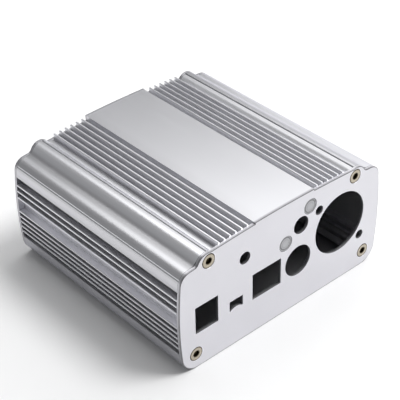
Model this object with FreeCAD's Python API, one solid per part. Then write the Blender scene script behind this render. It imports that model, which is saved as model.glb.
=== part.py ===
import FreeCAD, Part
import math
import os

# Extruded aluminium enclosure: a finned tube closed at both ends by flat plates.
# Millimetres, +Z up, front plate towards -Y, +X to the right of someone facing that plate.
# The origin is on the underside, below the middle of the enclosure.

os.makedirs("parts", exist_ok=True)
V = FreeCAD.Vector

# Overall sizes of the section and its cut length
body_length = 90.6
half_width = 48.8
widest_z = 22.0
side_bow_radius = 150.0
top_height = 48.1
crown_radius = 505.0

# Corners and the shoulder beside each upper screw boss, which falls a little outwards
lower_corner_radius = 7.0
upper_corner_radius = 4.6
shoulder_inset = 8.8
shoulder_drop = 4.8
shoulder_slope = 5.0
body_cove_radius = 4.5
plate_cove_radius = 2.0

# Screws, their bosses and the slit that opens each screw channel into the hollow
upper_screw_inset = 13.6
upper_screw_drop = 5.0
upper_boss_radius = 4.3
upper_boss_shift = 0.8
upper_boss_sink = 0.8
lower_screw_inset = 7.1
lower_screw_z = 6.1
lower_boss_radius = 3.0
slit_width = 1.2
lower_slit_angle = 45.0

# Fine line cut lengthwise into the top of each upper boss
boss_line_width = 0.6
boss_line_depth = 0.5

# Smooth band along the crown and the fins on each side of it
band_half_width = 14.2
band_to_fin = 2.45
fin_thickness = 0.8
fin_pitch = 2.6
fin_height = 2.3
fin_to_boss = 1.0
fin_edge_break = 0.2

# Grooves along each side, from the lowest up, and the ribs between them
groove_depth = 2.7
first_groove_z = 8.8
rib_thickness = 0.8
groove_widths = [2.3, 1.55, 1.55, 1.55, 1.55, 5.5, 2.0, 1.8, 3.0]
rib_edge_break = 0.2

# Faint line drawn lengthwise along each upper corner
draw_line_rise = 2.2
draw_line_width = 0.7
draw_line_depth = 0.15

# Walls and the rails that carry a circuit board
floor_wall = 1.8
side_wall = 1.8
roof_wall = 1.8
shoulder_wall = 1.9
rail_z = 9.4
rail_thickness = 1.2
rail_gap = 1.8
rail_reach = 2.2

# Countersunk socket screws, 3 mm thread
screw_radius = 1.5
screw_length = 8.0
countersink_radius = 3.0
head_radius = 2.8
head_recess = 0.05
hex_across_flats = 2.3
hex_depth = 1.2

# End plates: the front one reaches almost to the fin tips, the rear one ends at the fin roots
plate_thickness = 1.2
plate_edge_chamfer = 0.12
front_plate_drop = 0.6

# Large round hole for a panel socket, with its two fixing holes on a diagonal
large_hole_x = 28.1
large_hole_below_crown = 21.9
large_hole_radius = 12.6
fixing_offset = 11.1
fixing_radius = 1.9

# Smaller round holes
jack_x = 6.85
jack_z = 20.35
jack_radius = 6.35
button_x = 8.0
button_below_crown = 12.6
button_radius = 3.6
lamp_x = -18.95
lamp_below_crown = 12.6
lamp_radius = 2.5

# Openings with straight sides
square_left = -41.8
square_bottom = 15.0
square_width = 10.4
square_height = 11.4
wide_left = -15.4
wide_bottom = 14.8
wide_width = 13.8
wide_height = 11.2
opening_corner_radius = 0.3
slot_left = -26.2
slot_bottom = 15.7
slot_width = 6.3
slot_height = 4.3
slot_bump = 0.9
slot_foot = 0.5

# Round light windows
window_radius = 3.2
upper_window_x = 12.3
upper_window_below_crown = 6.7
lower_window_x = 0.5
lower_window_z = 31.2

# Places that follow from the sizes
overshoot = 1.0
quarter = math.pi / 2
total_length = body_length + 2 * plate_thickness
front_face_y = -total_length / 2
body_front_y = front_face_y + plate_thickness
body_rear_y = body_front_y + body_length
rear_face_y = body_rear_y + plate_thickness
shoulder_angle = math.radians(shoulder_slope)
shoulder = (half_width - shoulder_inset, top_height - shoulder_drop)
shoulder_way = (math.cos(shoulder_angle), -math.sin(shoulder_angle))
shoulder_up = (math.sin(shoulder_angle), math.cos(shoulder_angle))
upper_screw = (half_width - upper_screw_inset, top_height - upper_screw_drop)
upper_boss = (upper_screw[0] + upper_boss_shift, upper_screw[1] - upper_boss_sink)
lower_screw = (half_width - lower_screw_inset, lower_screw_z)
countersink_depth = countersink_radius - screw_radius
groove_floor_x = half_width - groove_depth
cavity_x = groove_floor_x - side_wall
first_fin_x = band_half_width + band_to_fin
fin_room = upper_boss[0] - upper_boss_radius - fin_to_boss - first_fin_x
fin_count = int(fin_room / fin_pitch) + 1
upper_window = (upper_window_x, top_height - upper_window_below_crown)
lower_window = (lower_window_x, lower_window_z)


def tip_z(x, inset=0.0):
    return top_height - crown_radius + math.sqrt((crown_radius - inset) ** 2 - x ** 2)


def at(x, z):
    return V(x, 0, z)


def line(start, end):
    return Part.makeLine(at(*start), at(*end))


def arc(start, middle, end):
    return Part.Arc(at(*start), at(*middle), at(*end)).toShape()


def on_circle(centre, radius, angle):
    return (centre[0] + radius * math.cos(angle), centre[1] + radius * math.sin(angle))


def crown_arc(x0, x1, drop, inset=0.0):
    points = [(x, tip_z(x, inset) - drop) for x in (x0, (x0 + x1) / 2, x1)]
    return arc(*points)


def face_of(edges):
    return Part.Face(Part.Wire(Part.__sortEdges__(edges)))


def mirrored(shape):
    return shape.mirror(V(0, 0, 0), V(1, 0, 0))


def both_sides(shapes):
    return shapes + [mirrored(shape) for shape in shapes]


def extruded(face, y0, y1):
    solid = face.extrude(V(0, y1 - y0, 0))
    solid.translate(V(0, y0, 0))
    return solid


def along_body(face, past=0.0):
    return extruded(face, body_front_y - past, body_rear_y + past)


def rod(centre, radius, y0, y1):
    return Part.makeCylinder(radius, y1 - y0, V(centre[0], y0, centre[1]), V(0, 1, 0))


def rectangle(x0, x1, z0, z1):
    return Part.Face(Part.makePolygon([at(x0, z0), at(x1, z0), at(x1, z1), at(x0, z1), at(x0, z0)]))


def beyond(start, way, distance):
    return (start[0] + way[0] * distance, start[1] + way[1] * distance)


def angle_to(start, end):
    return math.atan2(end[1] - start[1], end[0] - start[0])


def reach(start, way, centre, distance):
    # The farther point of a straight path that lies at the distance from the centre.
    run = start[0] - centre[0]
    rise = start[1] - centre[1]
    along = run * way[0] + rise * way[1]
    short = run ** 2 + rise ** 2 - distance ** 2
    return beyond(start, way, math.sqrt(along ** 2 - short) - along)


# Corner circles touch the bowed side from within, and the lower one the underside.
side_bow = (half_width - side_bow_radius, widest_z)
low_corner = reach((0, lower_corner_radius), (1, 0), side_bow, side_bow_radius - lower_corner_radius)
low_angle = angle_to(side_bow, low_corner)

# The upper corner circle touches the shoulder from below, the hollow cove touches it from above and
# touches the round screw boss too.
under_shoulder = beyond(shoulder, shoulder_up, -upper_corner_radius)
high_corner = reach(under_shoulder, shoulder_way, side_bow, side_bow_radius - upper_corner_radius)
high_angle = angle_to(side_bow, high_corner)


def cove_centre(radius):
    over_shoulder = beyond(shoulder, shoulder_up, radius)
    return reach(over_shoulder, shoulder_way, upper_boss, upper_boss_radius + radius)


def boss_foot_angle(drop, inset):
    # Where the boss circle, past its top, comes down to the roof circle: the law of cosines at its centre.
    roof_centre = (0, top_height - drop - crown_radius)
    boss_r = upper_boss_radius - inset
    roof_r = crown_radius - inset
    apart = math.dist(roof_centre, upper_boss)
    cosine = (apart ** 2 + boss_r ** 2 - roof_r ** 2) / (2 * apart * boss_r)
    return angle_to(upper_boss, roof_centre) + 2 * math.pi - math.acos(cosine)


def outline(drop, cove_radius, inset=0.0):
    # Closed outline of the section without fins: its roof lies a drop below the fin tips, beside a band
    # at full height. The inset moves every line of it evenly inwards.
    low_r = lower_corner_radius - inset
    high_r = upper_corner_radius - inset
    boss_r = upper_boss_radius - inset
    cove = cove_centre(cove_radius)
    cove_angle = angle_to(upper_boss, cove)
    cove_r = cove_radius + inset
    band_x = band_half_width - inset
    up_angle = quarter - shoulder_angle
    foot_angle = boss_foot_angle(drop, inset)
    low_start = (low_corner[0], inset)
    low_touch = on_circle(low_corner, low_r, low_angle)
    high_touch = on_circle(high_corner, high_r, high_angle)
    high_end = on_circle(high_corner, high_r, up_angle)
    cove_start = beyond(cove, shoulder_up, -cove_r)
    cove_end = on_circle(upper_boss, boss_r, cove_angle)
    foot = on_circle(upper_boss, boss_r, foot_angle)
    half = [
        line((0, inset), low_start),
        arc(low_start, on_circle(low_corner, low_r, (low_angle - quarter) / 2), low_touch),
        arc(low_touch, on_circle(side_bow, side_bow_radius - inset, 0), high_touch),
        arc(high_touch, on_circle(high_corner, high_r, (high_angle + up_angle) / 2), high_end),
        line(high_end, cove_start),
        arc(cove_start, on_circle(cove, cove_r, (cove_angle + up_angle) / 2 - math.pi), cove_end),
        arc(cove_end, on_circle(upper_boss, boss_r, (cove_angle + foot_angle) / 2), foot),
        crown_arc(foot[0], band_x, drop, inset),
        line((band_x, tip_z(band_x, inset) - drop), (band_x, tip_z(band_x, inset))),
        crown_arc(band_x, 0, 0, inset),
    ]
    return both_sides(half)


def make_fins():
    fins = []
    for k in range(fin_count):
        left = first_fin_x + k * fin_pitch - fin_thickness / 2
        right = left + fin_thickness
        root = tip_z(right) - fin_height - roof_wall / 2
        fin = face_of([
            line((left, root), (left, tip_z(left))),
            crown_arc(left, right, 0),
            line((right, tip_z(right)), (right, root)),
            line((right, root), (left, root)),
        ])
        fins.append(along_body(fin))
    return both_sides(fins)


def make_side_grooves():
    grooves = []
    z0 = first_groove_z
    for width in groove_widths:
        face = rectangle(groove_floor_x, half_width + overshoot, z0, z0 + width)
        grooves.append(along_body(face, overshoot))
        z0 += width + rib_thickness
    return both_sides(grooves)


def make_nick(centre, radius, angle, width, depth):
    # A three-cornered cut into a round surface, as wide at the surface as its width.
    half_spread = width / radius
    corners = [
        on_circle(centre, radius + depth, angle - half_spread),
        on_circle(centre, radius - depth, angle),
        on_circle(centre, radius + depth, angle + half_spread),
    ]
    nick = face_of([line(corners[i], corners[i - 1]) for i in range(3)])
    return along_body(nick, overshoot)


def make_fine_lines():
    corner_angle = math.asin(draw_line_rise / upper_corner_radius)
    boss_angle = math.acos((upper_screw[0] - upper_boss[0]) / upper_boss_radius)
    return both_sides([
        make_nick(high_corner, upper_corner_radius, corner_angle, draw_line_width, draw_line_depth),
        make_nick(upper_boss, upper_boss_radius, boss_angle, boss_line_width, boss_line_depth),
    ])


def make_hollow():
    # The hollow inside, less the screw bosses and board rails that stand in it.
    shoulder_roof = high_corner[1] + upper_corner_radius - shoulder_wall
    roof_drop = fin_height + roof_wall
    roof_x = upper_boss[0]
    half = [
        line((0, floor_wall), (cavity_x, floor_wall)),
        line((cavity_x, floor_wall), (cavity_x, shoulder_roof)),
        line((cavity_x, shoulder_roof), (roof_x, shoulder_roof)),
        line((roof_x, shoulder_roof), (roof_x, tip_z(roof_x) - roof_drop)),
        crown_arc(roof_x, 0, roof_drop),
    ]
    hollow = along_body(face_of(both_sides(half)), overshoot)
    kept = [
        rod(upper_boss, upper_boss_radius, body_front_y, body_rear_y),
        rod(lower_screw, lower_boss_radius, body_front_y, body_rear_y),
    ]
    for z0 in (rail_z, rail_z + rail_thickness + rail_gap):
        rail = rectangle(cavity_x - rail_reach, cavity_x + side_wall / 2, z0, z0 + rail_thickness)
        kept.append(along_body(rail))
    return hollow.cut(both_sides(kept))


def make_channels():
    # Screw channels run the whole length, each with a slit through its boss to the hollow inside.
    slit = rectangle(-slit_width / 2, slit_width / 2, -upper_boss_radius - overshoot, 0)
    upper_slit = along_body(slit, overshoot)
    slit = rectangle(-slit_width / 2, slit_width / 2, 0, lower_boss_radius + overshoot)
    lower_slit = along_body(slit, overshoot)
    lower_slit.rotate(V(0, 0, 0), V(0, 1, 0), -lower_slit_angle)
    upper_slit.translate(at(*upper_screw))
    lower_slit.translate(at(*lower_screw))
    channels = [upper_slit, lower_slit]
    for centre in (upper_screw, lower_screw):
        channels.append(rod(centre, screw_radius, body_front_y - overshoot, body_rear_y + overshoot))
    return both_sides(channels)


def make_screw_spaces(face_y, inward):
    # What the four screws of one end take up, cut from the plate and from the mouths of the channels.
    spaces = []
    for x, z in (upper_screw, lower_screw):
        sink = Part.makeCone(countersink_radius, screw_radius, countersink_depth,
                             V(x, face_y, z), V(0, inward, 0))
        shank = Part.makeCylinder(screw_radius, screw_length, V(x, face_y, z), V(0, inward, 0))
        spaces += [sink, shank]
    return both_sides(spaces)


def lengthwise_edges(shape, wanted):
    # Edges that run along the body and whose place in the section is wanted.
    chosen = []
    for edge in shape.Edges:
        first = edge.Vertexes[0].Point
        last = edge.Vertexes[-1].Point
        if abs(last.y - first.y) > body_length / 2 and wanted(abs(first.x), first.z):
            chosen.append(edge)
    return chosen


def on_fin_tip(x, z):
    return band_half_width <= x < upper_boss[0] - upper_boss_radius and z > tip_z(x) - fin_height / 2


def on_rib_tip(x, z):
    grooves_top = first_groove_z + sum(groove_widths) + rib_thickness * (len(groove_widths) - 1)
    margin = rib_thickness / 2
    return x > groove_floor_x + groove_depth / 2 and first_groove_z - margin < z < grooves_top + margin


def make_body():
    section = along_body(face_of(outline(fin_height, body_cove_radius))).fuse(make_fins()).removeSplitter()
    section = section.makeChamfer(fin_edge_break, lengthwise_edges(section, on_fin_tip))
    grooved = section.cut(make_side_grooves())
    grooved = grooved.makeChamfer(rib_edge_break, lengthwise_edges(grooved, on_rib_tip))
    ends = make_screw_spaces(front_face_y, 1) + make_screw_spaces(rear_face_y, -1)
    return grooved.cut([make_hollow()] + make_fine_lines() + make_channels() + ends).removeSplitter()


def plate_blank(drop, back_y, face_y):
    # Flat plate with a small chamfer all round its outside face.
    step = math.copysign(plate_edge_chamfer, face_y - back_y)
    blank = extruded(face_of(outline(drop, plate_cove_radius)), back_y, face_y - step)
    full = Part.Wire(Part.__sortEdges__(outline(drop, plate_cove_radius)))
    small = Part.Wire(Part.__sortEdges__(outline(drop, plate_cove_radius, plate_edge_chamfer)))
    full.translate(V(0, face_y - step, 0))
    small.translate(V(0, face_y, 0))
    return blank.fuse(Part.makeLoft([full, small], True, True)).removeSplitter()


def through_plate(centre, radius):
    return rod(centre, radius, front_face_y - overshoot, body_front_y + overshoot)


def window_through_plate(left, bottom, width, height):
    block = extruded(rectangle(left, left + width, bottom, bottom + height),
                     front_face_y - overshoot, body_front_y + overshoot)
    corners = [e for e in block.Edges if abs(e.Vertexes[0].Y - e.Vertexes[1].Y) > plate_thickness]
    return block.makeFillet(opening_corner_radius, corners)


def make_slot():
    # The lower edge rises in the middle, between two short flat feet.
    right = slot_left + slot_width
    top = slot_bottom + slot_height
    left_foot = (slot_left + slot_foot, slot_bottom)
    right_foot = (right - slot_foot, slot_bottom)
    summit = (slot_left + slot_width / 2, slot_bottom + slot_bump)
    slot = face_of([
        line((slot_left, top), (slot_left, slot_bottom)),
        line((slot_left, slot_bottom), left_foot),
        arc(left_foot, summit, right_foot),
        line(right_foot, (right, slot_bottom)),
        line((right, slot_bottom), (right, top)),
        line((right, top), (slot_left, top)),
    ])
    return extruded(slot, front_face_y - overshoot, body_front_y + overshoot)


def make_front_plate():
    large_hole_z = top_height - large_hole_below_crown
    openings = [
        through_plate((large_hole_x, large_hole_z), large_hole_radius),
        through_plate((large_hole_x - fixing_offset, large_hole_z + fixing_offset), fixing_radius),
        through_plate((large_hole_x + fixing_offset, large_hole_z - fixing_offset), fixing_radius),
        through_plate((jack_x, jack_z), jack_radius),
        through_plate((button_x, top_height - button_below_crown), button_radius),
        through_plate((lamp_x, top_height - lamp_below_crown), lamp_radius),
        through_plate(upper_window, window_radius),
        through_plate(lower_window, window_radius),
        window_through_plate(square_left, square_bottom, square_width, square_height),
        window_through_plate(wide_left, wide_bottom, wide_width, wide_height),
        make_slot(),
    ]
    blank = plate_blank(front_plate_drop, body_front_y, front_face_y)
    return blank.cut(openings + make_screw_spaces(front_face_y, 1))


def make_rear_plate():
    return plate_blank(fin_height, body_rear_y, rear_face_y).cut(make_screw_spaces(rear_face_y, -1))


def make_light_window(centre):
    # A disc that fills its hole in the front plate, flush on both sides.
    return rod(centre, window_radius, front_face_y, body_front_y)


def make_screw(centre, face_y, inward):
    head_edge = countersink_radius - head_radius
    profile = Part.makePolygon([
        V(0, head_recess, 0),
        V(head_radius, head_recess, 0),
        V(head_radius, head_edge, 0),
        V(screw_radius, countersink_depth, 0),
        V(screw_radius, screw_length, 0),
        V(0, screw_length, 0),
        V(0, head_recess, 0),
    ])
    solid = Part.Face(profile).revolve(V(0, 0, 0), V(0, 1, 0), 360)
    corner = hex_across_flats / math.sqrt(3)
    ring = [at(*on_circle((0, 0), corner, math.radians(60 * i))) for i in range(7)]
    socket = Part.Face(Part.makePolygon(ring)).extrude(V(0, head_recess + hex_depth, 0))
    solid = solid.cut(socket)
    if inward < 0:
        solid.rotate(V(0, 0, 0), V(0, 0, 1), 180)
    solid.translate(V(centre[0], face_y, centre[1]))
    return solid


nodes = {
    "extruded_body": make_body(),
    "front_plate": make_front_plate(),
    "rear_plate": make_rear_plate(),
    "light_window_upper": make_light_window(upper_window),
    "light_window_lower": make_light_window(lower_window),
}
for end, face_y, inward in (("front", front_face_y, 1), ("rear", rear_face_y, -1)):
    for level, (x, z) in (("upper", upper_screw), ("lower", lower_screw)):
        nodes["%s_screw_%s_left" % (end, level)] = make_screw((-x, z), face_y, inward)
        nodes["%s_screw_%s_right" % (end, level)] = make_screw((x, z), face_y, inward)

for name, shape in nodes.items():
    solids = shape.Solids
    print(name, "solids", len(solids), "valid", shape.isValid(), "volume", round(shape.Volume, 1))
    part = solids[0] if len(solids) == 1 else shape
    part.exportStep("parts/%s.step" % name)
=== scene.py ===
# %% [markdown]
# # Dressing an extruded aluminium enclosure
# The construction model gives every piece its true size and place: a finned aluminium tube, two flat
# end plates, two small discs and eight screws. This notebook gives those pieces their finish, and
# rebuilds the small ones whose detail is too fine for the construction model. All lengths are metres.

# %% Load the construction model
import math

import bmesh
import bpy
from mathutils import Matrix, Vector


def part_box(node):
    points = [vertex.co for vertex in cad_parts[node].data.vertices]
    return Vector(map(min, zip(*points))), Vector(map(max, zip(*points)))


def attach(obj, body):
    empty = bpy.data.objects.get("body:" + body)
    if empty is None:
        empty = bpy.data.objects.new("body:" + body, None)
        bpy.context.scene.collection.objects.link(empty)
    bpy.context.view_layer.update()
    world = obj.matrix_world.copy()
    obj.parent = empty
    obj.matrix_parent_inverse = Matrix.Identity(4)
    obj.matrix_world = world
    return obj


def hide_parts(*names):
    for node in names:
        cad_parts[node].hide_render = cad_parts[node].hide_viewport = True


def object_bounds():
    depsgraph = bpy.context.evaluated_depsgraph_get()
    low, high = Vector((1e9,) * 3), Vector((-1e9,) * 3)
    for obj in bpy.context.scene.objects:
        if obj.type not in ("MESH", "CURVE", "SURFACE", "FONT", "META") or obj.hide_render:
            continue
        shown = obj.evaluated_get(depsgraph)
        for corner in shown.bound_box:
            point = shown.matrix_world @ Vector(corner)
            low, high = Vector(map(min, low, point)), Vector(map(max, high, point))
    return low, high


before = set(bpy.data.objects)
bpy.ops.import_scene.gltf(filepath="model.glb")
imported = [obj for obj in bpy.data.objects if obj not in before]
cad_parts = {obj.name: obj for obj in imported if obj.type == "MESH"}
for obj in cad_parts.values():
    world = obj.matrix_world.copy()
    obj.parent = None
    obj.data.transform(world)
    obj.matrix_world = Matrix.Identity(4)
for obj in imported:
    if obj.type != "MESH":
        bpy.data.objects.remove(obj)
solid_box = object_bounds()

mm = 0.001
scene = bpy.context.scene
print("construction box, mm:", [[round(value / mm, 2) for value in corner] for corner in solid_box])

# %% [markdown]
# ## The camera
# The enclosure was photographed from its front left, well above the table, with a long lens. Such a
# view can be set by trial, but the straight edges and round holes fix it much better, so these values
# were worked out from them: the direction, a slight roll, the distance, and the point of the object in
# the picture's middle.

# %% Camera
azimuth = math.radians(-40.92)
elevation = math.radians(36.00)
roll = math.radians(-1.44)
distance = 473.2 * mm
picture_middle = Vector((0.37, -1.79, 26.44)) * mm

camera_data = bpy.data.cameras.new("camera")
camera_data.sensor_fit = "HORIZONTAL"
camera_data.sensor_width = 36.0
camera_data.lens = 114.80
camera_data.clip_start = 0.01
camera = bpy.data.objects.new("camera", camera_data)
scene.collection.objects.link(camera)

turn = Matrix.Rotation(azimuth, 4, "Z") @ Matrix.Rotation(math.pi / 2 - elevation, 4, "X")
turn = turn @ Matrix.Rotation(roll, 4, "Z")
away = turn.to_3x3() @ Vector((0, 0, 1))
camera.matrix_world = Matrix.Translation(picture_middle + away * distance) @ turn
scene.camera = camera
print("camera at, mm:", [round(value / mm, 1) for value in camera.location])

# %% [markdown]
# ## Building materials from nodes
# Every finish here is a Principled shader with a little pattern behind it. A few helpers keep the cells
# short: the first starts a material, the second adds a node, sets its inputs and wires what is handed
# to it, and the others are the small patterns that every finish is made of.

# %% Start a material and add to it
# A mix node has sockets of several kinds under the same names. These are the numbers of its colours.
mix_a, mix_b, mixed = 6, 7, 2


def new_material(name):
    material = bpy.data.materials.new(name)
    material.use_nodes = True
    tree = material.node_tree
    return material, tree, tree.nodes["Principled BSDF"]


def add(tree, kind, wires=(), **settings):
    node = tree.nodes.new(kind)
    for name, value in settings.items():
        setattr(node, name, value)
    for socket, value in dict(wires).items():
        if isinstance(value, bpy.types.NodeSocket):
            tree.links.new(value, node.inputs[socket])
        else:
            node.inputs[socket].default_value = value
    return node


# %% [markdown]
# Noise on the Object coordinates stays with the piece, however it is seen. Drawn out along one axis, it
# turns into the streaks of a drawn or rolled surface.

# %% Patterns


def stretched_noise(tree, stretch, detail=3.0):
    # The noise is drawn out or packed along each axis: a small number makes long streaks.
    place = add(tree, "ShaderNodeTexCoord")
    mapping = add(tree, "ShaderNodeMapping", {"Vector": place.outputs["Object"], "Scale": stretch})
    noise = add(tree, "ShaderNodeTexNoise", {"Vector": mapping.outputs["Vector"], "Scale": 1.0,
                                             "Detail": detail, "Roughness": 0.6})
    return noise.outputs["Fac"]


def ranged(tree, value, low, high):
    # Noise keeps to the middle of its scale, so 0.3 to 0.7 of it is spread over the wanted range.
    node = add(tree, "ShaderNodeMapRange", {"Value": value, "From Min": 0.3, "From Max": 0.7,
                                            "To Min": low, "To Max": high})
    return node.outputs["Result"]


def tinted(tree, value, dark, light):
    node = add(tree, "ShaderNodeMix", {"Factor": value, mix_a: (*dark, 1), mix_b: (*light, 1)},
               data_type="RGBA")
    return node.outputs[mixed]


def relief(tree, height, strength, depth):
    bump = add(tree, "ShaderNodeBump", {"Strength": strength, "Distance": depth, "Height": height})
    return bump.outputs["Normal"]


# %% [markdown]
# Some painted light and shade follows the form of a piece, and it is stored on the points of its mesh
# as a number. A finish reads that number and multiplies its colour by it, either as it is or after a
# ramp of colours.

# %% Tones stored on the mesh


def stored(tree, attribute):
    return add(tree, "ShaderNodeAttribute", attribute_name=attribute).outputs["Fac"]


def multiplied(tree, color, factor):
    node = add(tree, "ShaderNodeMix", {"Factor": 1.0, mix_a: color, mix_b: factor},
               data_type="RGBA", blend_type="MULTIPLY")
    return node.outputs[mixed]


def ramp(tree, value, stops):
    # Each stop is a position and a colour, in rising order.
    node = add(tree, "ShaderNodeValToRGB", {"Fac": value})
    elements = node.color_ramp.elements
    for element, (position, color) in ((elements[0], stops[0]), (elements[1], stops[-1])):
        element.position = position
        element.color = (*color, 1)
    for position, color in stops[1:-1]:
        elements.new(position).color = (*color, 1)
    return node.outputs["Color"]


# %% [markdown]
# ## Satin anodised extrusion
# A drawn profile carries very fine lines along its length, left by the die, and the satin etch before
# anodising blurs them. Long streaks of noise along Y give both: they vary the roughness and lift the
# surface by a few thousandths of a millimetre. A broad, slow noise adds the faint cloudiness of the
# etched skin.

# %% Extrusion finish


def satin_extrusion():
    material, tree, shader = new_material("satin_extrusion")
    lines = stretched_noise(tree, (2600, 14, 2600))
    clouds = stretched_noise(tree, (60, 25, 60), detail=2.0)
    color = tinted(tree, clouds, (0.68, 0.68, 0.70), (0.71, 0.71, 0.73))
    # The stored tone paints light and shade onto the colour.
    tree.links.new(multiplied(tree, color, stored(tree, "tone")), shader.inputs["Base Color"])
    tree.links.new(ranged(tree, lines, 0.32, 0.40), shader.inputs["Roughness"])
    tree.links.new(relief(tree, lines, 0.08, 0.004 * mm), shader.inputs["Normal"])
    shader.inputs["Metallic"].default_value = 1.0
    shader.inputs["Specular Tint"].default_value = (0.82, 0.82, 0.88, 1)
    return material


extrusion_finish = satin_extrusion()
print(extrusion_finish.name, "nodes", len(extrusion_finish.node_tree.nodes))

# %% [markdown]
# ## Satin anodised plate
# The end plates are cut from rolled sheet and etched before anodising, so their grain is fine and even
# in all directions, with a slightly violet cast. Two scales of noise make it: one close to the grain,
# one broad.

# %% Plate finish


def satin_plate():
    material, tree, shader = new_material("satin_plate")
    grain = stretched_noise(tree, (3200, 3200, 3200))
    clouds = stretched_noise(tree, (45, 45, 45), detail=2.0)
    color = tinted(tree, clouds, (0.69, 0.685, 0.72), (0.74, 0.735, 0.77))
    # The stored tone paints light and shade onto the colour.
    tree.links.new(multiplied(tree, color, stored(tree, "tone")), shader.inputs["Base Color"])
    tree.links.new(ranged(tree, grain, 0.36, 0.46), shader.inputs["Roughness"])
    tree.links.new(relief(tree, grain, 0.2, 0.005 * mm), shader.inputs["Normal"])
    shader.inputs["Metallic"].default_value = 1.0
    return material


plate_finish = satin_plate()
print(plate_finish.name, "nodes", len(plate_finish.node_tree.nodes))

# %% [markdown]
# ## Screw steel
# The screws are nickel plated steel, warmer than the aluminium, with a fine mottle from use. Painted
# shade darkens the socket and the gap round the edge of the head, and the flat ring between them keeps
# its colour. A ramp of colours over the distance from the axis puts the painted shade there: 0 is the
# axis and 1 the edge of the head.

# %% Screw finish
# Painted shade in the socket and round the edge of the head; none on the flat ring between.
socket_shade = (0.16, 0.14, 0.10)
head_edge_shade = (0.08, 0.065, 0.045)
unshaded = (1, 1, 1)


def plated_steel():
    material, tree, shader = new_material("plated_steel")
    mottle = stretched_noise(tree, (1500, 1500, 1500))
    metal = tinted(tree, mottle, (0.38, 0.34, 0.265), (0.55, 0.495, 0.405))
    # The ramp paints shade into the socket and round the edge of the head.
    socket_and_edge_shade = ramp(tree, stored(tree, "axis_distance"),
                ((0.45, socket_shade), (0.55, unshaded), (0.82, unshaded), (0.97, head_edge_shade)))
    tree.links.new(multiplied(tree, metal, socket_and_edge_shade), shader.inputs["Base Color"])
    tree.links.new(ranged(tree, mottle, 0.22, 0.38), shader.inputs["Roughness"])
    shader.inputs["Metallic"].default_value = 1.0
    return material


screw_finish = plated_steel()
print(screw_finish.name, "nodes", len(screw_finish.node_tree.nodes))

# %% [markdown]
# ## Light windows
# The two discs are frosted grey plastic with a soft cloudiness within. Painted shade draws darker
# rings across the domed face, the clearest near the rim, and darkens the gap round the disc. The same
# ramp over the distance from the axis draws them, here with greys: each stop is a place between the
# axis and the rim, and a brightness.

# %% Window finish
# Painted shade: darker rings on the dome, and a dark gap at the rim.
window_shade_rings = ((0.35, 1.0), (0.5, 0.8), (0.62, 1.0), (0.72, 0.35), (0.80, 0.35), (0.86, 1.0),
                (0.93, 1.0), (0.99, 0.12))


def frosted_plastic():
    material, tree, shader = new_material("frosted_plastic")
    clouds = stretched_noise(tree, (500, 500, 500))
    plastic = tinted(tree, clouds, (0.40, 0.40, 0.42), (0.52, 0.52, 0.54))
    rings = ramp(tree, stored(tree, "axis_distance"),
                 [(position, (grey, grey, grey)) for position, grey in window_shade_rings])
    tree.links.new(multiplied(tree, plastic, rings), shader.inputs["Base Color"])
    tree.links.new(ranged(tree, clouds, 0.25, 0.4), shader.inputs["Roughness"])
    return material


window_finish = frosted_plastic()
print(window_finish.name, "nodes", len(window_finish.node_tree.nodes))

# %% [markdown]
# ## Painted light and shade on the metal
# The tips of the fins and ribs get a painted highlight, and the grooves between them painted shade.
# A number on each point of the mesh, its tone, carries this painted light and shade: 1 leaves the
# finish as it is, more is brighter and less is darker. The forms of an extrusion run its whole length,
# so points at its ends are enough to shade every rib.

# %% Named tones
# Painted light and shade, all but skin: a highlight on the tips of the fins and ribs, a sheen on the roof
# band, light on the recess floor and the inner walls, and shade on the lower flanks, between the fins and
# ribs, in the boss grooves and at the joints with the plates.
skin = 1.0
tip_highlight = 1.36
band_sheen = 1.06
flank_shade = 0.9
inside_light = 1.12
recess_floor_light = 1.4
shade_between_fins = 0.80
shade_between_ribs = 0.65
boss_line_shade = 0.15
seam_shade = 0.2
print("tones from", min(boss_line_shade, seam_shade), "to", max(tip_highlight, recess_floor_light))

# %% [markdown]
# The rounded shoulders mirror the room in soft streaks, and the two shoulders mirror different parts of
# it. A few listed tones draw these streaks as painted reflections: each is a place across the shoulder
# in mm, counted from the middle of the enclosure, and the tone there. In between, the tone changes
# evenly.

# %% Streaks along the shoulders
# Painted reflections of the room, as tones across each shoulder.
left_shoulder_reflection = ((31.6, 1.0), (32.2, 1.35), (34.8, 1.35), (35.2, 1.0), (36.5, 1.0), (37.6, 1.4),
                 (38.6, 1.4), (39.8, 1.25), (40.6, 0.8), (41.8, 0.62), (42.6, 0.7), (43.4, 1.0),
                 (50, 1.0))
right_shoulder_reflection = ((31.6, 1.1), (32.6, 1.35), (33.6, 1.2), (34.2, 0.85), (35.2, 0.85), (36.0, 1.0),
                  (36.8, 0.75), (39.5, 0.75), (41.5, 0.95), (43.0, 1.2), (45.0, 0.95), (46.5, 0.82),
                  (50, 0.82))


def tone_across(steps, x):
    for (left, before), (right, after) in zip(steps, steps[1:]):
        if left * mm <= x < right * mm:
            return before + (after - before) * (x / mm - left) / (right - left)
    return skin


print("tone 41 mm out, left and right:", [round(tone_across(side, 41 * mm), 2)
                                          for side in (left_shoulder_reflection, right_shoulder_reflection)])

# %% [markdown]
# The tone of a point depends on where it lies in the section. The roof and the sides are long arcs, so
# the depth below those arcs tells a tip from a groove. The section is the same on both sides, so a
# point is taken by its distance from the middle, and only the streaks ask for its side. Painted shade
# darkens the fine groove along the top of each screw boss, and the ends of the shoulders where the
# plates meet them. The lengths here are those of the section, and limits that lie between its forms.

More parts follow.
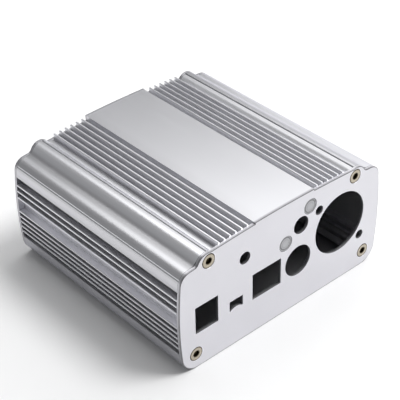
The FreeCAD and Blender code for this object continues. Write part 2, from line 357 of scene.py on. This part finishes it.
# %% Zones of the section
crown_radius = 505 * mm
side_radius = 150 * mm
widest_z = 22 * mm
boss_x, boss_z, boss_radius = 36.0 * mm, 42.3 * mm, 4.3 * mm
line_x, line_reach = 35.2 * mm, 0.6 * mm
line_top, line_bottom = 0.2 * mm, 0.8 * mm
tip_depth = 0.35 * mm
band_edge, band_foot = 14.2 * mm, 47 * mm
fins_start, fins_foot = 16 * mm, 43 * mm
shoulder_start, shoulder_foot = 31.6 * mm, 37.5 * mm
ribs_low, ribs_high = 10.5 * mm, 35 * mm
recess_low, recess_high = 21 * mm, 27 * mm
grooves_low, grooves_high, grooves_start = 8 * mm, 37 * mm, 45.5 * mm
inside_low, inside_reach, roof_thickness = 1 * mm, 45 * mm, 2.5 * mm
flank_start, flank_top = 44 * mm, 40 * mm
body_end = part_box("extruded_body")[1].y
end_depth = 0.01 * mm
print("the extrusion ends at y, mm:", round(body_end / mm, 2))

# %% Tone of a point


def body_tone(point):
    x, z = abs(point.x), point.z
    below_roof = solid_box[1][2] - crown_radius + math.sqrt(crown_radius ** 2 - x ** 2) - z
    side = solid_box[1][0] - side_radius + math.sqrt(side_radius ** 2 - (z - widest_z) ** 2)
    in_boss = boss_radius - math.hypot(x - boss_x, z - boss_z)
    # Painted shade at the joints with the plates.
    if x > shoulder_start and abs(point.y) > body_end - end_depth:
        return seam_shade
    # Painted highlight on the fin tips, painted shade between the fins.
    if fins_start < x < shoulder_start and z > fins_foot:
        return tip_highlight if below_roof < tip_depth else shade_between_fins
    # Painted highlight on the rib tips.
    if ribs_low < z < ribs_high and side - x < tip_depth:
        return tip_highlight
    # Painted light on the recess floor.
    if recess_low < z < recess_high and x > grooves_start:
        return recess_floor_light
    # Painted shade between the ribs.
    if grooves_low < z < grooves_high and grooves_start < x < side - tip_depth:
        return shade_between_ribs
    # Painted shade in the boss groove.
    if abs(x - line_x) < line_reach and line_top < in_boss < line_bottom and z > boss_z:
        return boss_line_shade
    # Painted reflections along the shoulders.
    if x > shoulder_start and z > shoulder_foot:
        return tone_across(left_shoulder_reflection if point.x < 0 else right_shoulder_reflection, x)
    # Painted sheen on the roof band.
    if x < band_edge and z > band_foot:
        return band_sheen
    # Painted light on the inner walls.
    if z > inside_low and below_roof > roof_thickness and x < inside_reach:
        return inside_light
    # Painted shade on the lower flanks.
    return flank_shade if z < flank_top and x > flank_start else skin


print("tone of the crown:", body_tone(Vector((0, 0, solid_box[1][2]))))

# %% [markdown]
# The painted shade where a plate meets the extrusion belongs in a thin line beside the plate, so the
# extrusion gets a loop of points near each end. Its mesh is cut there with two planes. The long strips
# are made of whole rectangles first, because a cut would take slivers off the diagonals of their
# triangles.

# %% A thin line of painted shade beside each plate
seam_width = 0.25 * mm
same_place = 0.0005 * mm


def tone_body(bm, node, tones):
    spans = [(edge, edge.verts[1].co - edge.verts[0].co) for edge in bm.edges]
    diagonals = [edge for edge, span in spans
                 if abs(span.y) > body_end and Vector((span.x, span.z)).length > same_place]
    bmesh.ops.dissolve_edges(bm, edges=diagonals, use_verts=False)
    for y in (body_end - seam_width, seam_width - body_end):
        everything = list(bm.verts) + list(bm.edges) + list(bm.faces)
        bmesh.ops.bisect_plane(bm, geom=everything, plane_co=(0, y, 0), plane_no=(0, 1, 0),
                               dist=0.0001 * mm)
    for vertex in bm.verts:
        vertex[tones] = body_tone(vertex.co)
    print(node, "diagonals taken out", len(diagonals), "points", len(bm.verts))


# %% [markdown]
# ## The edges of the plates
# A plate's broken outer edge turns away from the light, and painted shade draws it as a dark line,
# while the sharp edge of each hole gets a painted highlight, in front of a wall with painted shade.
# These tones need a narrow margin on the outer face too, or they would spread over the whole plate.
# First come the points that they sit on: the border of the face is made of closed loops, and the loop
# with the outermost point is the rim.

# %% Finding the borders of a face
# Painted shade on the rim, its bevel and the hole walls; a painted highlight on the hole edges.
rim_shade = 0.08
bevel_shade = 0.4
hole_edge_highlight = 1.36
hole_wall_shade = 0.5
rim_margin = 0.2 * mm
strip_share = 0.2
on_plane, off_plane = 0.001 * mm, 0.05 * mm


def outer_side(node):
    # Which way along Y the outer face of a front or rear piece looks, and where that face lies.
    low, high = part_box(node)
    return (-1, low.y) if low.y + high.y < 0 else (1, high.y)


def neighbours(vertices):
    return {edge.other_vert(vertex) for vertex in vertices for edge in vertex.link_edges}


def loop_through(start, border):
    loop, new = set(), {start}
    while new:
        loop |= new
        beside = {edge for vertex in new for edge in vertex.link_edges if edge in border}
        new = {vertex for edge in beside for vertex in edge.verts} - loop
    return loop


def place_of(vertex):
    # A point is known again after the margin is made by its place, to a hundredth of a millimetre.
    return tuple(round(value / mm, 2) for value in vertex.co)


print("the front plate's outer face lies at y, mm:", round(outer_side("front_plate")[1] / mm, 2))

# %% [markdown]
# The margin is an inset of the face, which keeps the outline and moves a copy of it inwards. Above the
# upper screws only a narrow strip is left between the hole and the rim. There each margin takes a share
# of the strip's width, so that the two don't cross.

# %% Tones and margin of a plate


def keep_margins_apart(inner, starts):
    # For each border point, starts tells where it was and whether it lies on the rim.
    for vertex in inner:
        places = [place_of(edge.other_vert(vertex)) for edge in vertex.link_edges]
        start, on_rim = next(starts[place] for place in places if place in starts)
        gap = min((start - other).length for other, side in starts.values() if side != on_rim)
        vertex.co = start + (vertex.co - start) * min(1, strip_share * gap / rim_margin)


def tone_plate(bm, node, tones):
    face_y = outer_side(node)[1]
    on_face = lambda vertex: abs(vertex.co.y - face_y) < on_plane
    off_face = lambda vertex: abs(vertex.co.y - face_y) > off_plane
    faces = [face for face in bm.faces if all(on_face(vertex) for vertex in face.verts)]
    border = {edge for face in faces for edge in face.edges
              if any(off_face(vertex) for other in edge.link_faces for vertex in other.verts)}
    points = {vertex for edge in border for vertex in edge.verts}
    rim = loop_through(max(points, key=lambda vertex: vertex.co.x), border)
    holes = points - rim
    # Painted shade on the rim, its bevel and the hole walls; a painted highlight on the hole edges.
    tone_of = {place_of(vertex): bevel_shade for vertex in neighbours(rim) if off_face(vertex)}
    tone_of.update({place_of(vertex): hole_wall_shade for vertex in neighbours(holes) if off_face(vertex)})
    tone_of.update({place_of(vertex): hole_edge_highlight for vertex in holes})
    tone_of.update({place_of(vertex): rim_shade for vertex in rim})
    starts = {place_of(vertex): (vertex.co.copy(), vertex in rim) for vertex in points}
    bmesh.ops.inset_region(bm, faces=faces, thickness=rim_margin, use_boundary=True, use_even_offset=True)
    inner = [vertex for vertex in bm.verts if on_face(vertex) and place_of(vertex) not in starts]
    keep_margins_apart(inner, starts)
    for vertex in bm.verts:
        vertex[tones] = tone_of.get(place_of(vertex), skin)
    print(node, "rim points", len(rim), "shaded", sum(vertex[tones] != skin for vertex in bm.verts))


# %% [markdown]
# ## The big metal pieces
# The extrusion and the plates already have the right shape, but their meshes are loose triangles, which
# catch the light facet by facet. A copy whose corners are joined can be shaded smoothly, with a crease
# kept wherever two faces meet at a real edge. The copy then stands for the piece of the construction
# model.

# %% Joined copies with soft shading


def soften(bm, crease):
    for edge in bm.edges:
        edge.smooth = edge.is_manifold and edge.calc_face_angle(0) < crease
    for face in bm.faces:
        face.smooth = True
        face.material_index = 0


def joined_copy(node, finish, set_tones):
    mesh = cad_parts[node].data.copy()
    piece = bpy.data.objects.new(node + "_dressed", mesh)
    scene.collection.objects.link(piece)
    bm = bmesh.new()
    bm.from_mesh(mesh)
    bmesh.ops.remove_doubles(bm, verts=bm.verts, dist=same_place)
    set_tones(bm, node, bm.verts.layers.float.new("tone"))
    soften(bm, crease=math.radians(25))
    bm.to_mesh(mesh)
    bm.free()
    mesh.materials.clear()
    mesh.materials.append(finish)
    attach(piece, "root")
    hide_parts(node)
    print(piece.name, "faces", len(mesh.polygons))


joined_copy("extruded_body", extrusion_finish, tone_body)
joined_copy("front_plate", plate_finish, tone_plate)
joined_copy("rear_plate", plate_finish, tone_plate)

# %% [markdown]
# ## Turning small round pieces
# Screws and discs are turned shapes: a row of rings about one axis. Each ring is extruded from the one
# before and put on its own radius and height. The radius may depend on the angle, which gives a hexagon
# or a thread.

# %% Rings about an axis
segments = 48


def first_ring(bm, radius, height):
    bmesh.ops.create_circle(bm, cap_ends=False, segments=segments, radius=radius)
    for vertex in bm.verts:
        vertex.co.z = height
    return list(bm.edges)


def next_ring(bm, ring, radius, height):
    made = bmesh.ops.extrude_edge_only(bm, edges=ring)["geom"]
    for vertex in (item for item in made if isinstance(item, bmesh.types.BMVert)):
        angle = math.atan2(vertex.co.y, vertex.co.x)
        reach = radius(angle) if callable(radius) else radius
        vertex.co = Vector((reach * math.cos(angle), reach * math.sin(angle), height))
    return [item for item in made if isinstance(item, bmesh.types.BMEdge)]


def turned(profile):
    # The profile runs from the middle of the outer face to the far end. The axis is +Z, out of the piece,
    # and the plate's outer face lies at height 0.
    bm = bmesh.new()
    ring = first_ring(bm, *profile[0])
    bmesh.ops.contextual_create(bm, geom=ring)
    for radius, height in profile[1:]:
        ring = next_ring(bm, ring, radius, height)
    bmesh.ops.contextual_create(bm, geom=ring)
    bmesh.ops.recalc_face_normals(bm, faces=bm.faces)
    return bm


# %% [markdown]
# A turned piece is laid down so that its axis points out of its plate, and takes the place of its node.
# Each of its points keeps its distance from the axis, which the ramps of the finishes read.

# %% Putting a round piece in its place


def place_round_piece(bm, name, node, finish):
    low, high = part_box(node)
    outward, face_y = outer_side(node)
    turn_out = Matrix.Rotation(-outward * math.pi / 2, 4, "X")
    centre = Vector(((low.x + high.x) / 2, face_y, (low.z + high.z) / 2))
    bmesh.ops.transform(bm, matrix=Matrix.Translation(centre) @ turn_out, verts=bm.verts)
    soften(bm, crease=math.radians(30))
    mesh = bpy.data.meshes.new(name)
    bm.to_mesh(mesh)
    bm.free()
    widest = (high.x - low.x) / 2
    reach = mesh.attributes.new("axis_distance", "FLOAT", "POINT")
    reach.data.foreach_set("value", [math.hypot(vertex.co.x - centre.x, vertex.co.z - centre.z) / widest
                                     for vertex in mesh.vertices])
    mesh.materials.append(finish)
    piece = bpy.data.objects.new(name, mesh)
    scene.collection.objects.link(piece)
    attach(piece, "root")
    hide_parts(node)
    print(piece.name, "faces", len(mesh.polygons))


# %% [markdown]
# ## Countersunk socket screws
# Each screw has a cone under its head, a hexagon socket with a drilled bottom, and a thread. The thread
# is a row of close rings whose radius follows a helix, and it fades in below the cone and out at the
# tip.

# %% A thread of rings
shank_radius = 1.49 * mm
pitch = 0.5 * mm
thread_depth = 0.28 * mm
rings_per_turn = 6


def thread_radius(height, top, tip):
    fade = min(1, (top - height) / pitch, (height - tip) / pitch)

    def radius(angle):
        phase = (height / pitch + angle / (2 * math.pi)) % 1
        groove = min(1, 2 * abs(2 * phase - 1)) * max(0, fade)
        return shank_radius - thread_depth * groove

    return radius


def thread(top, tip):
    count = int((top - tip) / pitch * rings_per_turn)
    heights = [top - (top - tip) * k / count for k in range(1, count + 1)]
    return [(thread_radius(height, top, tip), height) for height in heights]


print("rings in 5 mm of thread:", len(thread(0, -5 * mm)))

# %% [markdown]
# The socket's edge and the head's edge are broken a little, so that both catch the light. Two rings lie
# on the flat of the head, because the painted shade of the finish needs points to change between.

# %% Eight screws
head_radius = 2.8 * mm
head_wall = 0.2 * mm
edge_break = 0.12 * mm
socket_width = 2.3 * mm
socket_depth = 1.25 * mm
socket_corner = 0.1 * mm
flat_start, flat_end = 0.5 * head_radius, 0.86 * head_radius
bottom_radius = 0.95 * mm
drill_radius, drill_depth = 0.45 * mm, 0.35 * mm
tip_length = 0.4 * mm


def hexagon(across_flats):
    sixth = math.pi / 3
    return lambda angle: across_flats / 2 / math.cos((angle % sixth) - sixth / 2)


def screw_profile(length):
    socket = hexagon(socket_width)
    cone_end = -head_wall - (head_radius - shank_radius)
    head = [(drill_radius, -socket_depth - drill_depth),
            (bottom_radius, -socket_depth),
            (socket, -socket_depth + socket_corner),
            (socket, -edge_break),
            (lambda angle: socket(angle) + edge_break, 0),
            (flat_start, 0),
            (flat_end, 0),
            (head_radius - edge_break, 0),
            (head_radius, -edge_break),
            (head_radius, -head_wall),
            (shank_radius, cone_end)]
    return head + thread(cone_end, tip_length - length) + [(shank_radius - tip_length, -length)]


for node in sorted(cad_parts):
    if "_screw_" in node:
        low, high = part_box(node)
        screw = turned(screw_profile(high.y - low.y))
        place_round_piece(screw, node + "_turned", node, screw_finish)

# %% [markdown]
# ## The discs of the light windows
# A disc of frosted plastic lies in its hole with its rim broken and its face a little domed, so that
# its edge reads as a fine ring from the front. The crown of the dome stays just below the face of the
# plate.

# %% Two discs
window_radius = 3.17 * mm
window_rim = 0.15 * mm
rim_height = -0.20 * mm


def window_profile(thickness):
    return [(0.6 * mm, -0.08 * mm),
            (1.6 * mm, -0.10 * mm),
            (2.5 * mm, -0.14 * mm),
            (window_radius - window_rim, rim_height),
            (window_radius, rim_height - window_rim),
            (window_radius, -thickness)]


for node in ("light_window_upper", "light_window_lower"):
    low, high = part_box(node)
    disc = turned(window_profile(high.y - low.y))
    place_round_piece(disc, node + "_disc", node, window_finish)

# %% [markdown]
# ## Floor
# The enclosure stands on a plain white table with a barely uneven tone. The table is wide enough to
# fill the picture, and belongs to the stage, not to the object.

# %% White table
floor_reach = 6.0


def white_table():
    material, tree, shader = new_material("white_table")
    specks = stretched_noise(tree, (30, 30, 30))
    color = tinted(tree, specks, (0.79, 0.79, 0.79), (0.81, 0.81, 0.81))
    tree.links.new(color, shader.inputs["Base Color"])
    shader.inputs["Roughness"].default_value = 0.7
    return material


bm = bmesh.new()
bmesh.ops.create_grid(bm, x_segments=1, y_segments=1, size=floor_reach)
floor_mesh = bpy.data.meshes.new("floor")
bm.to_mesh(floor_mesh)
bm.free()
floor_mesh.materials.append(white_table())
floor = bpy.data.objects.new("floor", floor_mesh)
scene.collection.objects.link(floor)
print("floor, m:", [round(value, 1) for value in floor.dimensions])

# %% [markdown]
# ## Light
# The shadow is soft and falls to the rear left, so the key light shines from the front right, well
# above the table, and has a wide disc. Satin metal shows the shapes of the lights around it: a large
# softbox overhead gives the roof its sheen, which fades towards the rear, and another one stands
# upright on the right and lights what faces that way. Both only shine and stay out of the picture. A
# pale, even surround fills the rest.

# %% Lights
scene.view_settings.view_transform = "Standard"


def softbox(name, centre, width, depth, power, tilt=(0, 0, 0)):
    # A soft rectangular light that shines down until it is tilted. Lengths in mm, turns in degrees.
    data = bpy.data.lights.new(name, "AREA")
    data.shape = "RECTANGLE"
    data.size = width * mm
    data.size_y = depth * mm
    data.energy = power
    light = bpy.data.objects.new(name, data)
    scene.collection.objects.link(light)
    light.visible_camera = False
    light.location = Vector(centre) * mm
    light.rotation_euler = [math.radians(angle) for angle in tilt]


def sun(name, heading, height, strength, softness):
    # Heading is the side it shines from, counted from -Y towards +X. All three angles are in degrees.
    data = bpy.data.lights.new(name, "SUN")
    data.energy = strength
    data.angle = math.radians(softness)
    light = bpy.data.objects.new(name, data)
    scene.collection.objects.link(light)
    light.rotation_euler = (math.radians(90 - height), 0, math.radians(heading))


softbox("overhead_softbox", centre=(355, 35, 450), width=910, depth=670, power=3.0)
softbox("side_softbox", centre=(900, 275, 220), width=440, depth=1050, power=1.4, tilt=(0, 90, 0))
sun("key_light", heading=50, height=58, strength=1.9, softness=22)

world = bpy.data.worlds.new("surround")
world.use_nodes = True
background = world.node_tree.nodes["Background"]
background.inputs["Color"].default_value = (0.97, 0.98, 1.0, 1)
background.inputs["Strength"].default_value = 0.27
scene.world = world
print("lights:", sorted(light.name for light in bpy.data.lights))
